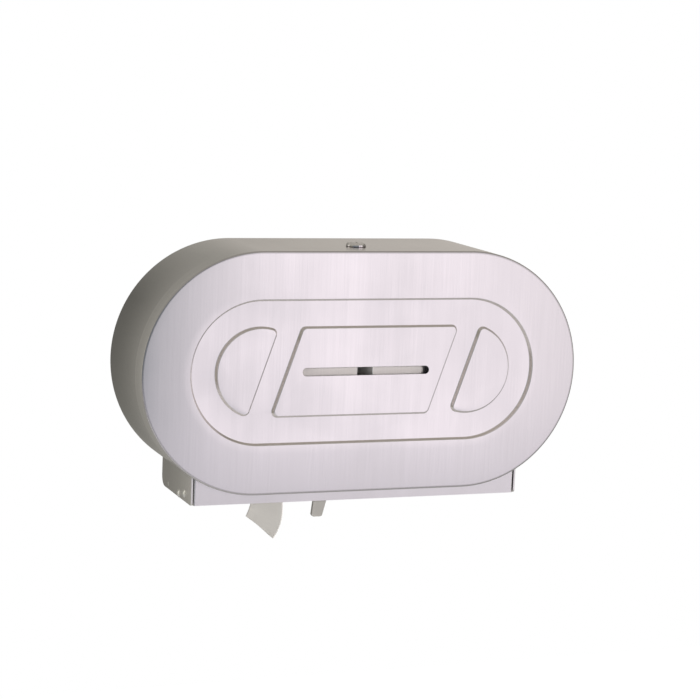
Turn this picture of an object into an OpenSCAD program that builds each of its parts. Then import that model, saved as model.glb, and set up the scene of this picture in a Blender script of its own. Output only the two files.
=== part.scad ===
// Twin jumbo toilet roll dispenser, wall mounted, in millimetres.
// X runs right along the wall, Y into the wall, Z up. The wall is the plane y = 0.
// The origin is the centre of the stadium-shaped cover, on the wall.

/* [Cover] */
// Distance from the wall to the cover's face
cover_depth = 135; // [134:0.5:160]
// Sheet thickness of the cover
cover_sheet = 1; // [0.8:0.1:1.4]
// Radius between the face and the skirt
face_edge_r = 2; // [1.5:0.1:5]
// Gap between the skirt's rear edge and the wall
skirt_wall_gap = 1; // [0.6:0.1:2]
// Depth of the front lip left under the face between the side plates
front_lip = 6.5; // [6:0.5:8]

/* [Embossing] */
// Width of the rim between the cover's outline and the sunk panel
face_rim = 55.6; // [50:0.1:66]
// How far the embossing sits above the cover's middle
emboss_up = 1.7; // [0:0.1:4]
// Depth of the sunk panel
sunk_depth = 4; // [2:0.5:5]
// Run of the sloped walls between the face and the sunk panel
wall_run = 3; // [1:0.5:4]
// Distance from the arc centres in to the slanted centre field's sides, at mid height
field_inset = 29.3; // [20:0.1:40]
// Distance from the sunk panel's edge to the slanted centre field
field_rim = 31.4; // [24:0.1:44]
// Sideways shift of the slanted edges per unit of height
field_slant = 0.34; // [0:0.01:0.5]
// Distance from the sunk panel's edge to the D-shaped end fields
end_field_rim = 30.1; // [24:0.1:44]
// Width of the channel between the centre field and an end field
channel_w = 24.5; // [10:0.5:30]
// Corner radius of the raised fields
field_corner_r = 7; // [3:0.5:10]
// Set-back of the raised fields behind the cover's face
field_setback = 0.3; // [0.1:0.1:1]
// Distance from the centre field's sides to the view slot's ends
slot_inset = 19.5; // [16:0.5:50]
// Height of the view slot
slot_h = 9.2; // [6:0.2:14]

/* [Base] */
// Distance from the cover's end to the base's side plate
base_inset = 64.5; // [60:0.5:74]
// Drop of the base below the cover
base_drop = 11.3; // [10:0.1:20]
// Set-back of the base front behind the cover's face
base_setback = 12; // [11:0.5:16]
// Sheet thickness of the base frame
base_sheet = 1.2; // [1:0.1:1.6]
// Bend radius of the base frame's front corners
base_bend_r = 1.8; // [1.6:0.1:4]
// Clearance from the left roll to the top of the base frame's sides
base_roll_gap = 4.3; // [3:0.1:10]
// Thickness of the back plate
back_t = 1.5; // [1:0.1:2]
// Width of the back plate's stiffening flange
back_flange = 11; // [6:0.5:14]
// Clearance between the back plate and the skirt
back_gap = 1.2; // [1:0.1:2]

/* [Hinge] */
// Thickness of the side plates
side_t = 2; // [1.5:0.1:2.5]
// Distance of the hinge axis from the wall
hinge_out = 32; // [31:0.5:33]
// Height of the hinge axis above the base's lower edge
hinge_up = 6; // [5:0.5:7]
// Radius of the hinge pins
pin_r = 2.5; // [2:0.1:3]
// Running clearance around pins, studs and the lock plug
run_gap = 0.05; // [0.02:0.01:0.1]
// Thickness of the glide strips inside the side plates
glide_t = 0.8; // [0.6:0.1:1.2]
// Side clearance between the glide strips and the base frame
side_gap = 0.3; // [0.2:0.1:0.6]
// Head radius of the side rivets
rivet_head_r = 5; // [3:0.5:6]
// Head height of the side rivets
rivet_head_h = 2; // [1:0.1:2.4]
// Distance between the two side rivets
rivet_pitch = 21.4; // [18:0.2:28]
// Height of the front side rivet above the base's lower edge
rivet_up = 9; // [8:0.5:10]
// How much lower the rear side rivet sits
rivet_step = 4.6; // [0:0.2:5]
// Distance from the base's front to the front side rivet
rivet_inset = 27; // [20:0.5:32]

/* [Rolls] */
// Radius of a full paper roll
roll_r = 124; // [116:0.5:132]
// Gap between two full rolls
rolls_apart = 4; // [3:0.5:12]
// Gap between a full roll and the inside of the skirt
roll_gap = 13.7; // [13.7:0.1:20]
// Paper already used from the right roll, off its radius
right_used = 14; // [0:1:60]
// Distance of the spindles outside the centres of the cover's round ends
spindle_shift = 0.2; // [0:0.1:1]
// Gap between the paper and the cover's face
paper_front_gap = 22; // [22:0.5:36]
// Distance from the wall to the paper
paper_out = 17; // [16.5:0.5:20]
// Outer radius of the cardboard cores
core_r = 38.3; // [30:0.1:42]
// Wall thickness of the cardboard cores
core_t = 2; // [1:0.1:3]
// Radius of the spindle studs
stud_r = 6; // [4:0.5:8]
// Radius of the hub flanges
hub_flange_r = 47; // [44:0.5:60]
// Thickness of the hub flanges
hub_flange_t = 2.7; // [2:0.1:3]
// Wall thickness of the hubs
hub_wall = 2.4; // [1.6:0.1:4]
// Number of ribs in each hub
hub_ribs = 6; // [3:1:10]

/* [Shutter] */
// Thickness of the shutter panel
shutter_t = 1.4; // [1:0.1:1.6]
// Distance from the left spindle's axis to the shutter's near end
shutter_inset = 64; // [58:0.5:76]
// Height of the rails
rail_h = 5.8; // [5.4:0.1:7]
// Slot height in the rails
rail_slot = 2; // [1.8:0.1:2.4]
// Depth of the rail slots
rail_depth = 5; // [4:0.5:6]
// Clearance from the shutter's edges to the base frame's sides
shutter_gap = 3.2; // [2.6:0.1:6]
// Projection of the tear teeth past the shutter panel
tooth_reach = 5; // [3:0.5:6]
// Distance between the tear teeth
tooth_pitch = 4; // [3:0.5:6]
// Width of the finger tab at the base's lower edge
tab_w = 16.6; // [12:0.2:20]
// Width of the finger tab at its foot
tab_foot_w = 13.3; // [10:0.1:20]
// Thickness of the finger tab from front to back
tab_d = 4.5; // [3:0.1:12]
// Reach of the finger tab below the base
tab_drop = 25; // [15:0.5:30]
// Slant of the finger tab, sideways run for its whole drop
tab_slant = 4; // [0:0.5:9]
// Distance from the shutter's left end to the finger tab's middle
tab_from_end = 27; // [20:1:90]
// Distance from the base's front to the finger tab's middle
tab_inset = 28; // [25:1:60]

/* [Lock] */
// Distance from the cover's face to the lock's axis
lock_inset = 50; // [30:1:55]
// Radius of the lock's outer flange
lock_flange_r = 11.6; // [10:0.1:14]
// Radius of the lock's threaded barrel
lock_barrel_r = 9.5; // [8:0.1:9.6]
// Radius of the lock plug
plug_r = 7; // [5:0.1:7.5]
// Length of the cam from the lock's axis
cam_l = 28; // [24:0.5:32]
// Width of the cam
cam_w = 12; // [8:0.5:13]
// Thickness of the cam and of the keeper
cam_t = 2; // [1.5:0.1:2.5]
// Width of the latch keeper
keeper_w = 16; // [12:0.5:20]

/* [Wall holes] */
// Distance between the wall holes, sideways
wall_hole_x = 380; // [340:1:380]
// Distance between the wall holes, up and down
wall_hole_z = 150; // [100:1:150]
// Radius of the wall holes
wall_hole_r = 3.25; // [2.5:0.05:4]

/* [Paper tail] */
// Thickness of the hanging paper's solid
tail_t = 0.5; // [0.3:0.1:1]
// Gap between the hanging paper and the roll
tail_gap = 0.3; // [0.2:0.1:0.6]
// How far right of the left spindle the paper passes the base's lower edge
tail_shift = 38; // [30:0.5:42]
// Bend radius where the paper turns down
tail_bend_r = 36; // [20:1:40]
// Straight length between that bend and the curl
tail_hang = 12; // [4:1:24]
// Radius of the curl at the hanging end
tail_curl_r = 49; // [40:1:90]
// Angle of the cut end from the vertical
tail_end_angle = 37; // [10:1:50]

/* [Hidden] */
$fn = 64;
past = 1;                                        // how far a cutter runs past a face
seat = 0.05;                                     // gap where two pieces of one body meet

left_roll_r = roll_r;
right_roll_r = roll_r - right_used;
spindle_x = roll_r + rolls_apart / 2;
skirt_in_r = roll_r + roll_gap;
cover_r = skirt_in_r + cover_sheet;              // radius of the cover's round ends
arc_x = spindle_x - spindle_shift;               // sideways place of the round ends' centres
cover_w = 2 * (arc_x + cover_r);
base_z = -(cover_r + base_drop);                 // lower edge of the base
base_front = cover_depth - base_setback;         // the base front's distance from the wall
base_w = cover_w - 2 * base_inset;
side_in = base_w / 2 - side_t;                   // inner face of the side plates
frame_x = side_in - glide_t - side_gap;          // outer face of the base frame's sides
frame_in = frame_x - base_sheet;
frame_front_in = base_front - base_sheet;
hinge_z = base_z + hinge_up;
back_r = skirt_in_r - back_gap;
paper_front = cover_depth - paper_front_gap;
paper_w = paper_front - paper_out;
base_top = -sqrt(pow(left_roll_r, 2) - pow(frame_x - spindle_x, 2)) - base_roll_gap;
base_h = base_top - base_z;

// the sunk panel and the raised fields
sunk_r = cover_r - face_rim;
sunk_floor = cover_depth - sunk_depth;
sunk_slope = wall_run / sunk_depth;
field_top = cover_depth - field_setback;
field_half_w = arc_x - field_inset;
field_half_h = sunk_r - field_rim;
end_field_r = sunk_r - end_field_rim;
slot_half_l = field_half_w - slot_inset;
slab_t = 0.01;                                   // thickness of the outlines a sloped field joins
end_cut_x = field_half_w + channel_w;

// rails and shutter
rail_z = base_z + base_sheet;
rail_lip = (rail_h - rail_slot) / 2;
rail_back = 2.4;
rail_w = rail_depth + rail_back;
rail_end_gap = base_bend_r - base_sheet;         // keeps the rails' ends clear of the bends
shutter_z = rail_z + rail_lip + (rail_slot - shutter_t) / 2;
rear_rail_front = back_t + rail_w;
front_rail_rear = frame_front_in - rail_w;
shutter_end = frame_in - shutter_gap;            // where the teeth stop beside the frame
shutter_left = shutter_inset - spindle_x;
shutter_right = shutter_end - tooth_reach;
shutter_edge = 1.2;                              // gap from the panel to the bottom of a slot
strip_t = 1;
strip_w = 12;
strip_margin = 2.5;                              // tear strip to rail
strip_front = front_rail_rear - strip_margin;
strip_rear = rear_rail_front + strip_margin;
tab_x = shutter_left + tab_from_end;             // the tab's middle at the base's lower edge
tab_out = base_front - tab_inset;
tab_corner_r = 3;
tab_flange = 28;
tab_flange_d = 12;
tab_flange_t = 2;
tab_rivet_r = 1.6;
tab_rivet_inset = 3.4;
tab_rivet_lip = 1.2;
tab_rivet_h = 0.8;

// spindles and hubs
spindle_flange_r = 28;
spindle_flange_t = 3;
shoulder_r = 10;
hub_rear = paper_out - seat - hub_flange_t;      // rear face of the hub
turn_gap = 0.3;                                  // play between parts that turn end to end
shoulder_end = hub_rear - turn_gap;
cap_rear = paper_front + seat;
cap_front = cap_rear + hub_flange_t;
sleeve_wall = 3;
sleeve_r = stud_r + run_gap + sleeve_wall;
sleeve_past = 0.4;
sleeve_end = cap_front + sleeve_past;
cap_chamfer = 1.5;
ring_t = 1.2;
ring_lip = 3.5;
ring_r = stud_r + ring_lip;
groove_depth = 0.8;
groove_r = stud_r - groove_depth;
ring_open = 1.6 * groove_r;
ring_rear = sleeve_end + turn_gap;
stud_end = ring_rear + 2 * ring_t;
spindle_rivet_at = 21;
spindle_rivet_r = 2;

// lock
lock_out = cover_depth - lock_inset;
flange_h = 2.2;
plug_proud = 2.4;
nut_r = 13;
nut_h = 4;
washer_t = 1;
barrel_tail = 10;                                // barrel past the nut
barrel_end = skirt_in_r - washer_t - nut_h - barrel_tail;
cam_top = barrel_end - turn_gap;
cam_bottom = cam_top - cam_t;
keyway_w = 1.4;
keyway_l = 8;
keyway_depth = 3;
screw_r = 4;
screw_h = 2.4;
screw_slot = 1;
keeper_gap = 2;                                  // keeper to nut and cam
keeper_foot = 6;
keeper_x = nut_r + keeper_gap;
keeper_top = cam_top + keeper_gap;
keeper_bottom = cam_bottom - screw_h - 2 * keeper_gap;
keeper_front = lock_out + cam_w / 2 + keeper_gap; // rear face of the keeper's lip
keeper_rivet_r = 2;
keeper_rivet_shares = [0.25, 0.75];

// side plates
plate_setback = 0.2;
plate_front = base_front - plate_setback;
rivet_out = base_front - rivet_inset;
plate_rear = 6;
plate_corner_r = 3;
plate_rear_r = 12;                               // lower rear corner of the plates and the frame
back_rise = 4.5;                                 // back plate above the base's lower edge
weld_t = 1.4;                                    // flange that lies inside the skirt
weld_gap = 0.05;
weld_r = skirt_in_r - weld_gap;
weld_run = 12;
glide_w = 12;
weld_overlap = 1;
glide_seat = 0.02;
glide_lift = 0.5;
glide_margin = 9;                                // from a rivet to the glide strip's end
rivet_shank_r = 2;
pin_head_t = 2;
pin_head_lip = 2;
pin_washer_lip = 3;

wall_rivet_r = 2;
wall_rivet_lip = 1.5;
wall_rivet_head = 1;
frame_flange = 16;
frame_flange_gap = 1;                            // from the rear rail up to the frame's flange
frame_rivet_shares = [0.42, 0.8];                // along the frame's height
back_flange_low = 12;                            // where the back plate's edge flange ends

// ---- helpers ----

// local X and Y become X and Z, and local Z is the distance from the wall
module on_wall(out = 0) translate([0, -out, 0]) rotate([90, 0, 0]) children();

// local X and Y become Y and Z, and local Z is X
module along_x(x = 0) translate([x, 0, 0]) rotate([90, 0, 90]) children();

module both_sides() {
    children();
    mirror([1, 0, 0]) children();
}

module stadium(r, half_x) {
    for (side = [-1, 1])
        translate([side * half_x, 0])
            circle(r);
    square([2 * half_x, 2 * r], center = true);
}

// half section of a pan: radius r, from height low to high, with a rounded top edge
module pan_section(r, low, high, edge) {
    translate([0, low]) square([r, high - low - edge]);
    translate([0, low]) square([r - edge, high - low]);
    translate([r - edge, high - edge]) circle(edge);
}

module pan(r, low, high, edge) {
    for (side = [-1, 1])
        translate([side * arc_x, 0, 0])
            rotate_extrude()
                pan_section(r, low, high, edge);
    rotate([90, 0, 90])
        linear_extrude(2 * arc_x, center = true) {
            pan_section(r, low, high, edge);
            mirror([1, 0]) pan_section(r, low, high, edge);
        }
}

// stadium with sloped walls, radius r_low at the bottom and r_high at the top
module sloped_stadium(r_low, r_high, half_x, low, high) {
    for (side = [-1, 1])
        translate([side * half_x, 0, low])
            cylinder(h = high - low, r1 = r_low, r2 = r_high);
    rotate([90, 0, 90])
        linear_extrude(2 * half_x, center = true)
            polygon([[-r_low, low], [r_low, low], [r_high, high], [-r_high, high]]);
}

module centre_field_outline() {
    shift = field_half_h * field_slant;
    polygon([
        [-field_half_w - shift, -field_half_h], [field_half_w - shift, -field_half_h],
        [field_half_w + shift, field_half_h], [-field_half_w + shift, field_half_h]
    ]);
}

module end_field_outline() {
    reach = 2 * end_field_r;
    intersection() {
        translate([arc_x, 0]) circle(end_field_r);
        polygon([
            [end_cut_x - reach * field_slant, -reach], [end_cut_x + reach, -reach],
            [end_cut_x + reach, reach], [end_cut_x + reach * field_slant, reach]
        ]);
    }
}

module field_slab(height, grow) {
    translate([0, 0, height])
        linear_extrude(slab_t)
            offset(r = field_corner_r)
                offset(delta = grow - field_corner_r)
                    children();
}

// raised field with sloped walls: its outline is its foot on the sunk panel
module sloped_field(low, high, inset) {
    run = sunk_slope * (high - low);
    hull() {
        field_slab(low, -inset, $fn = 32) children();
        field_slab(high - slab_t, -inset - run, $fn = 32) children();
    }
}

module raised_fields(low, high, inset) {
    sloped_field(low, high, inset) centre_field_outline();
    for (turn = [0, 180])
        rotate([0, 0, turn])
            sloped_field(low, high, inset) end_field_outline();
}

module rounded_rect(low, high, r) {
    translate([low[0] + r, low[1]]) square([high[0] - low[0] - 2 * r, high[1] - low[1]]);
    translate([low[0], low[1] + r]) square([high[0] - low[0], high[1] - low[1] - 2 * r]);
    for (x = [low[0] + r, high[0] - r], y = [low[1] + r, high[1] - r])
        translate([x, y])
            circle(r);
}

// domed head on a shank: the head's flat side is at height 0, the shank goes down
module rivet(head_r, head_h, shank_r, shank_l) {
    ball_r = (head_r * head_r + head_h * head_h) / (2 * head_h);
    intersection() {
        translate([0, 0, head_h - ball_r]) sphere(ball_r);
        cylinder(h = head_h + past, r = head_r + past);
    }
    translate([0, 0, -shank_l]) cylinder(h = shank_l + head_h / 2, r = shank_r);
}

// ---- cabinet ----

module wall_holes_at() {
    for (x = [-1, 1], z = [-1, 1])
        translate([x * wall_hole_x / 2, z * wall_hole_z / 2, 0])
            children();
}

module frame_rivets_at() {
    for (share = frame_rivet_shares)
        translate([frame_in - frame_flange / 2, base_z + share * base_h, 0])
            children();
}

module spindle_rivets_at(x) {
    for (turn = [45:90:315])
        translate([x, 0, 0])
            rotate([0, 0, turn])
                translate([spindle_rivet_at, 0, 0])
                    children();
}

module keeper_rivets_at() {
    for (share = keeper_rivet_shares)
        translate([keeper_x + share * keeper_w, keeper_top + keeper_foot / 3, 0])
            children();
}

module back_plate() color("gainsboro") {
    on_wall() difference() {
        union() {
            linear_extrude(back_t) stadium(back_r, arc_x);
            translate([-frame_in, base_z + back_rise, 0]) cube([2 * frame_in, -base_z - back_rise, back_t]);
            difference() {
                linear_extrude(back_t + back_flange) stadium(back_r, arc_x);
                translate([0, 0, back_t]) linear_extrude(back_flange + past) stadium(back_r - back_t, arc_x);
                translate([-cover_w, back_flange_low - 2 * cover_w, back_t]) cube(2 * cover_w);
            }
        }
        translate([0, 0, -past]) {
            wall_holes_at() cylinder(h = back_t + 2 * past, r = wall_hole_r);
            both_sides() frame_rivets_at() cylinder(h = back_t + 2 * past, r = wall_rivet_r + seat);
            for (side = [-1, 1])
                spindle_rivets_at(side * spindle_x)
                    cylinder(h = back_t + 2 * past, r = spindle_rivet_r + seat);
            keeper_rivets_at() cylinder(h = back_t + 2 * past, r = keeper_rivet_r + seat);
        }
    }
}

module frame_outline(x, front, r) {
    translate([-x, -front + r]) square([2 * x, front - r]);
    translate([-x + r, -front]) square([2 * (x - r), front]);
    for (side = [-1, 1])
        translate([side * (x - r), -front + r])
            circle(r);
}

module base_frame() color("gainsboro") {
    flange_z = rail_z + rail_h + frame_flange_gap;
    difference() {
        union() {
            translate([0, 0, base_z])
                linear_extrude(base_h)
                    difference() {
                        frame_outline(frame_x, base_front, base_bend_r);
                        frame_outline(frame_in, frame_front_in, base_bend_r - base_sheet);
                    }
            // foot under the front rail
            translate([-frame_in, -frame_front_in, base_z])
                cube([2 * frame_in, rail_w, base_sheet]);
            both_sides()
                translate([frame_in - frame_flange, -back_t - base_sheet, flange_z])
                    cube([frame_flange + base_sheet / 2, base_sheet, base_top - flange_z]);
        }
        translate([-frame_x - past, -back_t, base_z - past])
            cube([2 * (frame_x + past), back_t + past, base_h + 2 * past]);
        both_sides()
            along_x(frame_in - past)
                linear_extrude(base_sheet + 2 * past)
                    difference() {
                        translate([-plate_rear_r, base_z - past]) square(plate_rear_r + past);
                        rear_corner(0);
                    }
        both_sides() {
            translate([0, -hinge_out, hinge_z])
                rotate([0, 90, 0])
                    cylinder(h = frame_x + past, r = pin_r + seat);
            on_wall() frame_rivets_at() cylinder(h = back_t + 2 * base_sheet, r = wall_rivet_r + seat);
        }
    }
}

// channel along X with its slot facing the wall
module rail(length) {
    translate([-length / 2, 0, 0])
        difference() {
            cube([length, rail_w, rail_h]);
            translate([-past, rail_w - rail_depth, rail_lip])
                cube([length + 2 * past, rail_depth + past, rail_slot]);
        }
}

module front_rail() color("silver")
    translate([0, -frame_front_in, rail_z]) rail(2 * (frame_in - rail_end_gap));

module rear_rail() color("silver")
    translate([0, -back_t, rail_z]) mirror([0, 1, 0]) rail(2 * (frame_in - rail_end_gap));

module base_rivets() color("silver")
    on_wall(back_t + base_sheet)
        both_sides()
            frame_rivets_at()
                rivet(wall_rivet_r + wall_rivet_lip, wall_rivet_head, wall_rivet_r, back_t + base_sheet);

module spindle(x) color("silver")
    on_wall() difference() {
        translate([x, 0, 0]) {
            translate([0, 0, back_t]) cylinder(h = spindle_flange_t, r = spindle_flange_r);
            translate([0, 0, back_t]) cylinder(h = shoulder_end - back_t, r = shoulder_r);
            translate([0, 0, back_t]) cylinder(h = ring_rear - back_t, r = stud_r);
            translate([0, 0, back_t]) cylinder(h = stud_end - back_t, r = groove_r);
            translate([0, 0, ring_rear + ring_t]) cylinder(h = stud_end - ring_rear - ring_t, r = stud_r);
        }
        spindle_rivets_at(x) cylinder(h = back_t + spindle_flange_t + past, r = spindle_rivet_r + seat);
    }

module left_spindle() spindle(-spindle_x);

module right_spindle() spindle(spindle_x);

module spindle_rivets() color("silver")
    on_wall(back_t + spindle_flange_t)
        for (side = [-1, 1])
            spindle_rivets_at(side * spindle_x)
                rivet(spindle_rivet_r + wall_rivet_lip, wall_rivet_head, spindle_rivet_r,
                      back_t + spindle_flange_t);

// spring clip, open on one side, that snaps into the stud's groove
module retainer(x) color("silver")
    translate([x, 0, 0])
        on_wall(ring_rear)
            difference() {
                cylinder(h = ring_t, r = ring_r);
                translate([0, 0, -past]) cylinder(h = ring_t + 2 * past, r = groove_r + seat);
                translate([-ring_open / 2, 0, -past]) cube([ring_open, ring_r + past, ring_t + 2 * past]);
            }

module left_retainer() retainer(-spindle_x);

module right_retainer() retainer(spindle_x);

// arm from the back plate with an upturned lip that the turned cam catches
module latch_keeper() color("silver") {
    foot_top = keeper_top + keeper_foot;
    difference() {
        translate([keeper_x, 0, 0]) {
            translate([0, -back_t - cam_t, keeper_bottom])
                cube([keeper_w, cam_t, foot_top - keeper_bottom]);
            translate([0, -keeper_front - cam_t, keeper_bottom])
                cube([keeper_w, keeper_front + cam_t - back_t, cam_t]);
            translate([0, -keeper_front - cam_t, keeper_bottom])
                cube([keeper_w, cam_t, keeper_top - keeper_bottom]);
        }
        on_wall() keeper_rivets_at() cylinder(h = back_t + cam_t + past, r = keeper_rivet_r + seat);
    }
}

module keeper_rivets() color("silver")
    on_wall(back_t + cam_t)
        keeper_rivets_at()
            rivet(keeper_rivet_r + wall_rivet_lip, wall_rivet_head, keeper_rivet_r, back_t + cam_t);

module hinge_pin() color("silver")
    translate([0, -hinge_out, hinge_z])
        rotate([0, 90, 0]) {
            translate([0, 0, frame_in - seat - pin_head_t])
                cylinder(h = pin_head_t, r = pin_r + pin_head_lip);
            translate([0, 0, frame_in - pin_head_t])
                cylinder(h = base_w / 2 - frame_in + pin_head_t, r = pin_r);
        }

module left_hinge_pin() mirror([1, 0, 0]) hinge_pin();

module right_hinge_pin() hinge_pin();

module hinge_washers() color("white")
    both_sides()
        translate([frame_x + seat, -hinge_out, hinge_z])
            rotate([0, 90, 0])
                difference() {
                    cylinder(h = glide_t + side_gap - 2 * seat, r = pin_r + pin_washer_lip);
                    translate([0, 0, -past]) cylinder(h = glide_t + side_gap + 2 * past, r = pin_r + seat);
                }

// the hanging paper leaves the roll on a tangent, turns straight down and curls at its end
tail_r = left_roll_r + tail_gap;
tail_corner = [tail_shift, base_z + tail_bend_r * 0.4];   // seen from the roll's centre
tail_from = atan2(tail_corner[1], tail_corner[0]) + acos(tail_r / norm(tail_corner));
tail_lead_angle = -tail_from;                    // from straight down, to the left
tail_start = tail_r * [cos(tail_from), sin(tail_from)];
tail_steps = 10;

function tail_down(angle) = [-sin(angle), -cos(angle)];

// points along an arc that turns from one angle from the vertical to another
function tail_arc(from, r, angle_1, angle_2) = [
    for (i = 0, turn = (angle_2 - angle_1) / tail_steps, at = from; i <= tail_steps;
         at = at + 2 * r * sin(abs(turn) / 2) * tail_down(angle_1 + (i + 0.5) * turn), i = i + 1) at
];

module paper_tail() color("lightgrey") {
    tangent = tail_bend_r * tan(tail_lead_angle / 2);
    bend = tail_arc(tail_corner - tangent * tail_down(tail_lead_angle), tail_bend_r, tail_lead_angle, 0);
    curl = tail_arc(bend[tail_steps] + tail_hang * tail_down(0), tail_curl_r, 0, tail_end_angle);
    edge = concat([tail_start], bend, curl);
    turns = [for (i = [0:tail_steps]) i / tail_steps];
    angles = concat([tail_lead_angle], [for (t = turns) tail_lead_angle * (1 - t)],
                    [for (t = turns) tail_end_angle * t]);
    back = [for (i = [len(edge) - 1:-1:0]) edge[i] + tail_t * [cos(angles[i]), -sin(angles[i])]];
    translate([-spindle_x, 0, 0])
        on_wall(paper_out)
            linear_extrude(paper_w)
                polygon(concat(edge, back));
}

// ---- cover ----

module raise() translate([0, emboss_up, 0]) children();

module front_cover() color("silver") {
    inner_run = wall_run / 2;                    // the inner walls follow the sheet's slope
    lip_rear = cover_depth - front_lip;
    difference() {
        on_wall() difference() {
            union() {
                difference() {
                    pan(cover_r, skirt_wall_gap, cover_depth, face_edge_r);
                    raise() sloped_stadium(sunk_r - wall_run, sunk_r + past * sunk_slope, arc_x,
                                           sunk_floor, cover_depth + past);
                }
                raise() raised_fields(sunk_floor - cover_sheet / 2, field_top, 0);
            }
            difference() {
                pan(skirt_in_r, skirt_wall_gap - past, cover_depth - cover_sheet, face_edge_r - cover_sheet);
                raise() sloped_stadium(sunk_r - wall_run + inner_run, sunk_r + inner_run, arc_x,
                                       sunk_floor - cover_sheet, cover_depth);
            }
            raise() raised_fields(sunk_floor - cover_sheet - past, field_top - cover_sheet, cover_sheet);
            raise() translate([0, 0, sunk_floor - 2 * past])
                linear_extrude(sunk_depth + 4 * past)
                    stadium(slot_h / 2, slot_half_l - slot_h / 2);
            translate([-base_w / 2, -cover_r - past, -past])
                cube([base_w, cover_r / 2, lip_rear + past]);
        }
        translate([0, -lock_out, skirt_in_r - past])
            cylinder(h = cover_sheet + 2 * past, r = lock_barrel_r + seat);
    }
}

// everything in front of and above a rounded lower rear corner
module rear_corner(rear) {
    translate([-cover_depth, base_z + plate_rear_r]) square([cover_depth - rear, cover_r]);
    translate([-cover_depth, base_z]) square([cover_depth - rear - plate_rear_r, cover_r]);
    translate([-rear - plate_rear_r, base_z + plate_rear_r]) circle(plate_rear_r);
}

module side_plate() color("silver") {
    plate_top = sqrt(pow(weld_r - weld_t, 2) - pow(side_in - arc_x, 2));
    turn_in = acos((side_in - arc_x) / weld_r);
    turn_out = acos((side_in + weld_run - arc_x) / weld_r);
    difference() {
        union() {
            along_x(side_in)
                linear_extrude(side_t)
                    intersection() {
                        rounded_rect([-plate_front, base_z], [-plate_rear, weld_overlap - plate_top],
                                     plate_corner_r);
                        rear_corner(plate_rear);
                    }
            // flange that follows the inside of the skirt
            translate([arc_x, 0, 0])
                on_wall(plate_rear + plate_corner_r)
                    rotate([0, 0, -turn_in])
                        rotate_extrude(angle = turn_in - turn_out)
                            translate([weld_r - weld_t, 0])
                                square([weld_t, plate_front - plate_rear - 2 * plate_corner_r]);
        }
        along_x(side_in - past) {
            translate([-hinge_out, hinge_z, 0]) cylinder(h = side_t + 2 * past, r = pin_r + run_gap);
            side_rivets_at() cylinder(h = side_t + 2 * past, r = rivet_shank_r + seat);
        }
    }
}

module side_rivets_at() {
    for (i = [0, 1])
        translate([-rivet_out + i * rivet_pitch, base_z + rivet_up - i * rivet_step, 0])
            children();
}

module left_side_plate() mirror([1, 0, 0]) side_plate();

module right_side_plate() side_plate();

module side_glides() color("white")
    both_sides()
        along_x(side_in - glide_t)
            difference() {
                translate([-rivet_out - glide_margin, base_z + glide_lift, 0])
                    cube([rivet_pitch + 2 * glide_margin, glide_w, glide_t - glide_seat]);
                translate([0, 0, -past])
                    side_rivets_at() cylinder(h = glide_t + 2 * past, r = rivet_shank_r + seat);
            }

module side_rivets() color("silver")
    both_sides()
        along_x(base_w / 2)
            side_rivets_at()
                rivet(rivet_head_r, rivet_head_h, rivet_shank_r, side_t + glide_t - 2 * seat);

module lock_body() color("lightsteelblue")
    translate([0, -lock_out, 0])
        difference() {
            union() {
                translate([0, 0, cover_r + seat]) cylinder(h = flange_h / 2, r = lock_flange_r);
                translate([0, 0, cover_r + seat + flange_h / 2])
                    cylinder(h = flange_h / 2, r1 = lock_flange_r, r2 = lock_flange_r - flange_h / 2);
                translate([0, 0, barrel_end])
                    cylinder(h = cover_r + flange_h - barrel_end, r = lock_barrel_r);
            }
            translate([0, 0, barrel_end - past])
                cylinder(h = cover_r + 2 * flange_h - barrel_end + past, r = plug_r + run_gap);
        }

module lock_washer() color("silver")
    translate([0, -lock_out, skirt_in_r - seat - washer_t])
        difference() {
            cylinder(h = washer_t, r = nut_r);
            translate([0, 0, -past]) cylinder(h = washer_t + 2 * past, r = lock_barrel_r + seat);
        }

module lock_nut() color("silver")
    translate([0, -lock_out, skirt_in_r - 2 * seat - washer_t - nut_h])
        difference() {
            cylinder(h = nut_h, r = nut_r, $fn = 6);
            translate([0, 0, -past]) cylinder(h = nut_h + 2 * past, r = lock_barrel_r + seat);
        }

module lock_plug() color("lightsteelblue") {
    top = cover_r + flange_h + plug_proud;
    ball_r = 3 * plug_r;
    translate([0, -lock_out, 0])
        difference() {
            intersection() {
                translate([0, 0, barrel_end]) cylinder(h = top - barrel_end, r = plug_r);
                translate([0, 0, top - ball_r]) sphere(ball_r);
            }
            translate([-keyway_w / 2, -keyway_l / 2, top - keyway_depth])
                cube([keyway_w, keyway_l, keyway_depth + past]);
        }
}

// rests along Y, unlocked, and turns a quarter to catch the keeper
module lock_cam() color("silver")
    translate([0, -lock_out, cam_bottom])
        difference() {
            union() {
                linear_extrude(cam_t) circle(cam_w / 2);
                linear_extrude(cam_t) translate([-cam_w / 2, 0]) square([cam_w, cam_l - cam_w / 2]);
                linear_extrude(cam_t) translate([0, cam_l - cam_w / 2]) circle(cam_w / 2);
            }
            translate([0, 0, -past]) cylinder(h = cam_t + 2 * past, r = screw_r / 2 + seat);
        }

module cam_screw() color("silver")
    translate([0, -lock_out, cam_bottom]) {
        translate([0, 0, -screw_h]) difference() {
            cylinder(h = screw_h - seat, r = screw_r);
            translate([-screw_r - past, -screw_slot / 2, -past])
                cube([2 * (screw_r + past), screw_slot, past + screw_h / 2]);
        }
        translate([0, 0, -screw_h / 2]) cylinder(h = screw_h / 2 + cam_t, r = screw_r / 2);
    }

// ---- rolls ----

module roll_at(x) translate([x, 0, 0]) on_wall() children();

module tube(low, high, r_out, r_in)
    difference() {
        translate([0, 0, low]) cylinder(h = high - low, r = r_out);
        translate([0, 0, low - past]) cylinder(h = high - low + 2 * past, r = r_in);
    }

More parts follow.
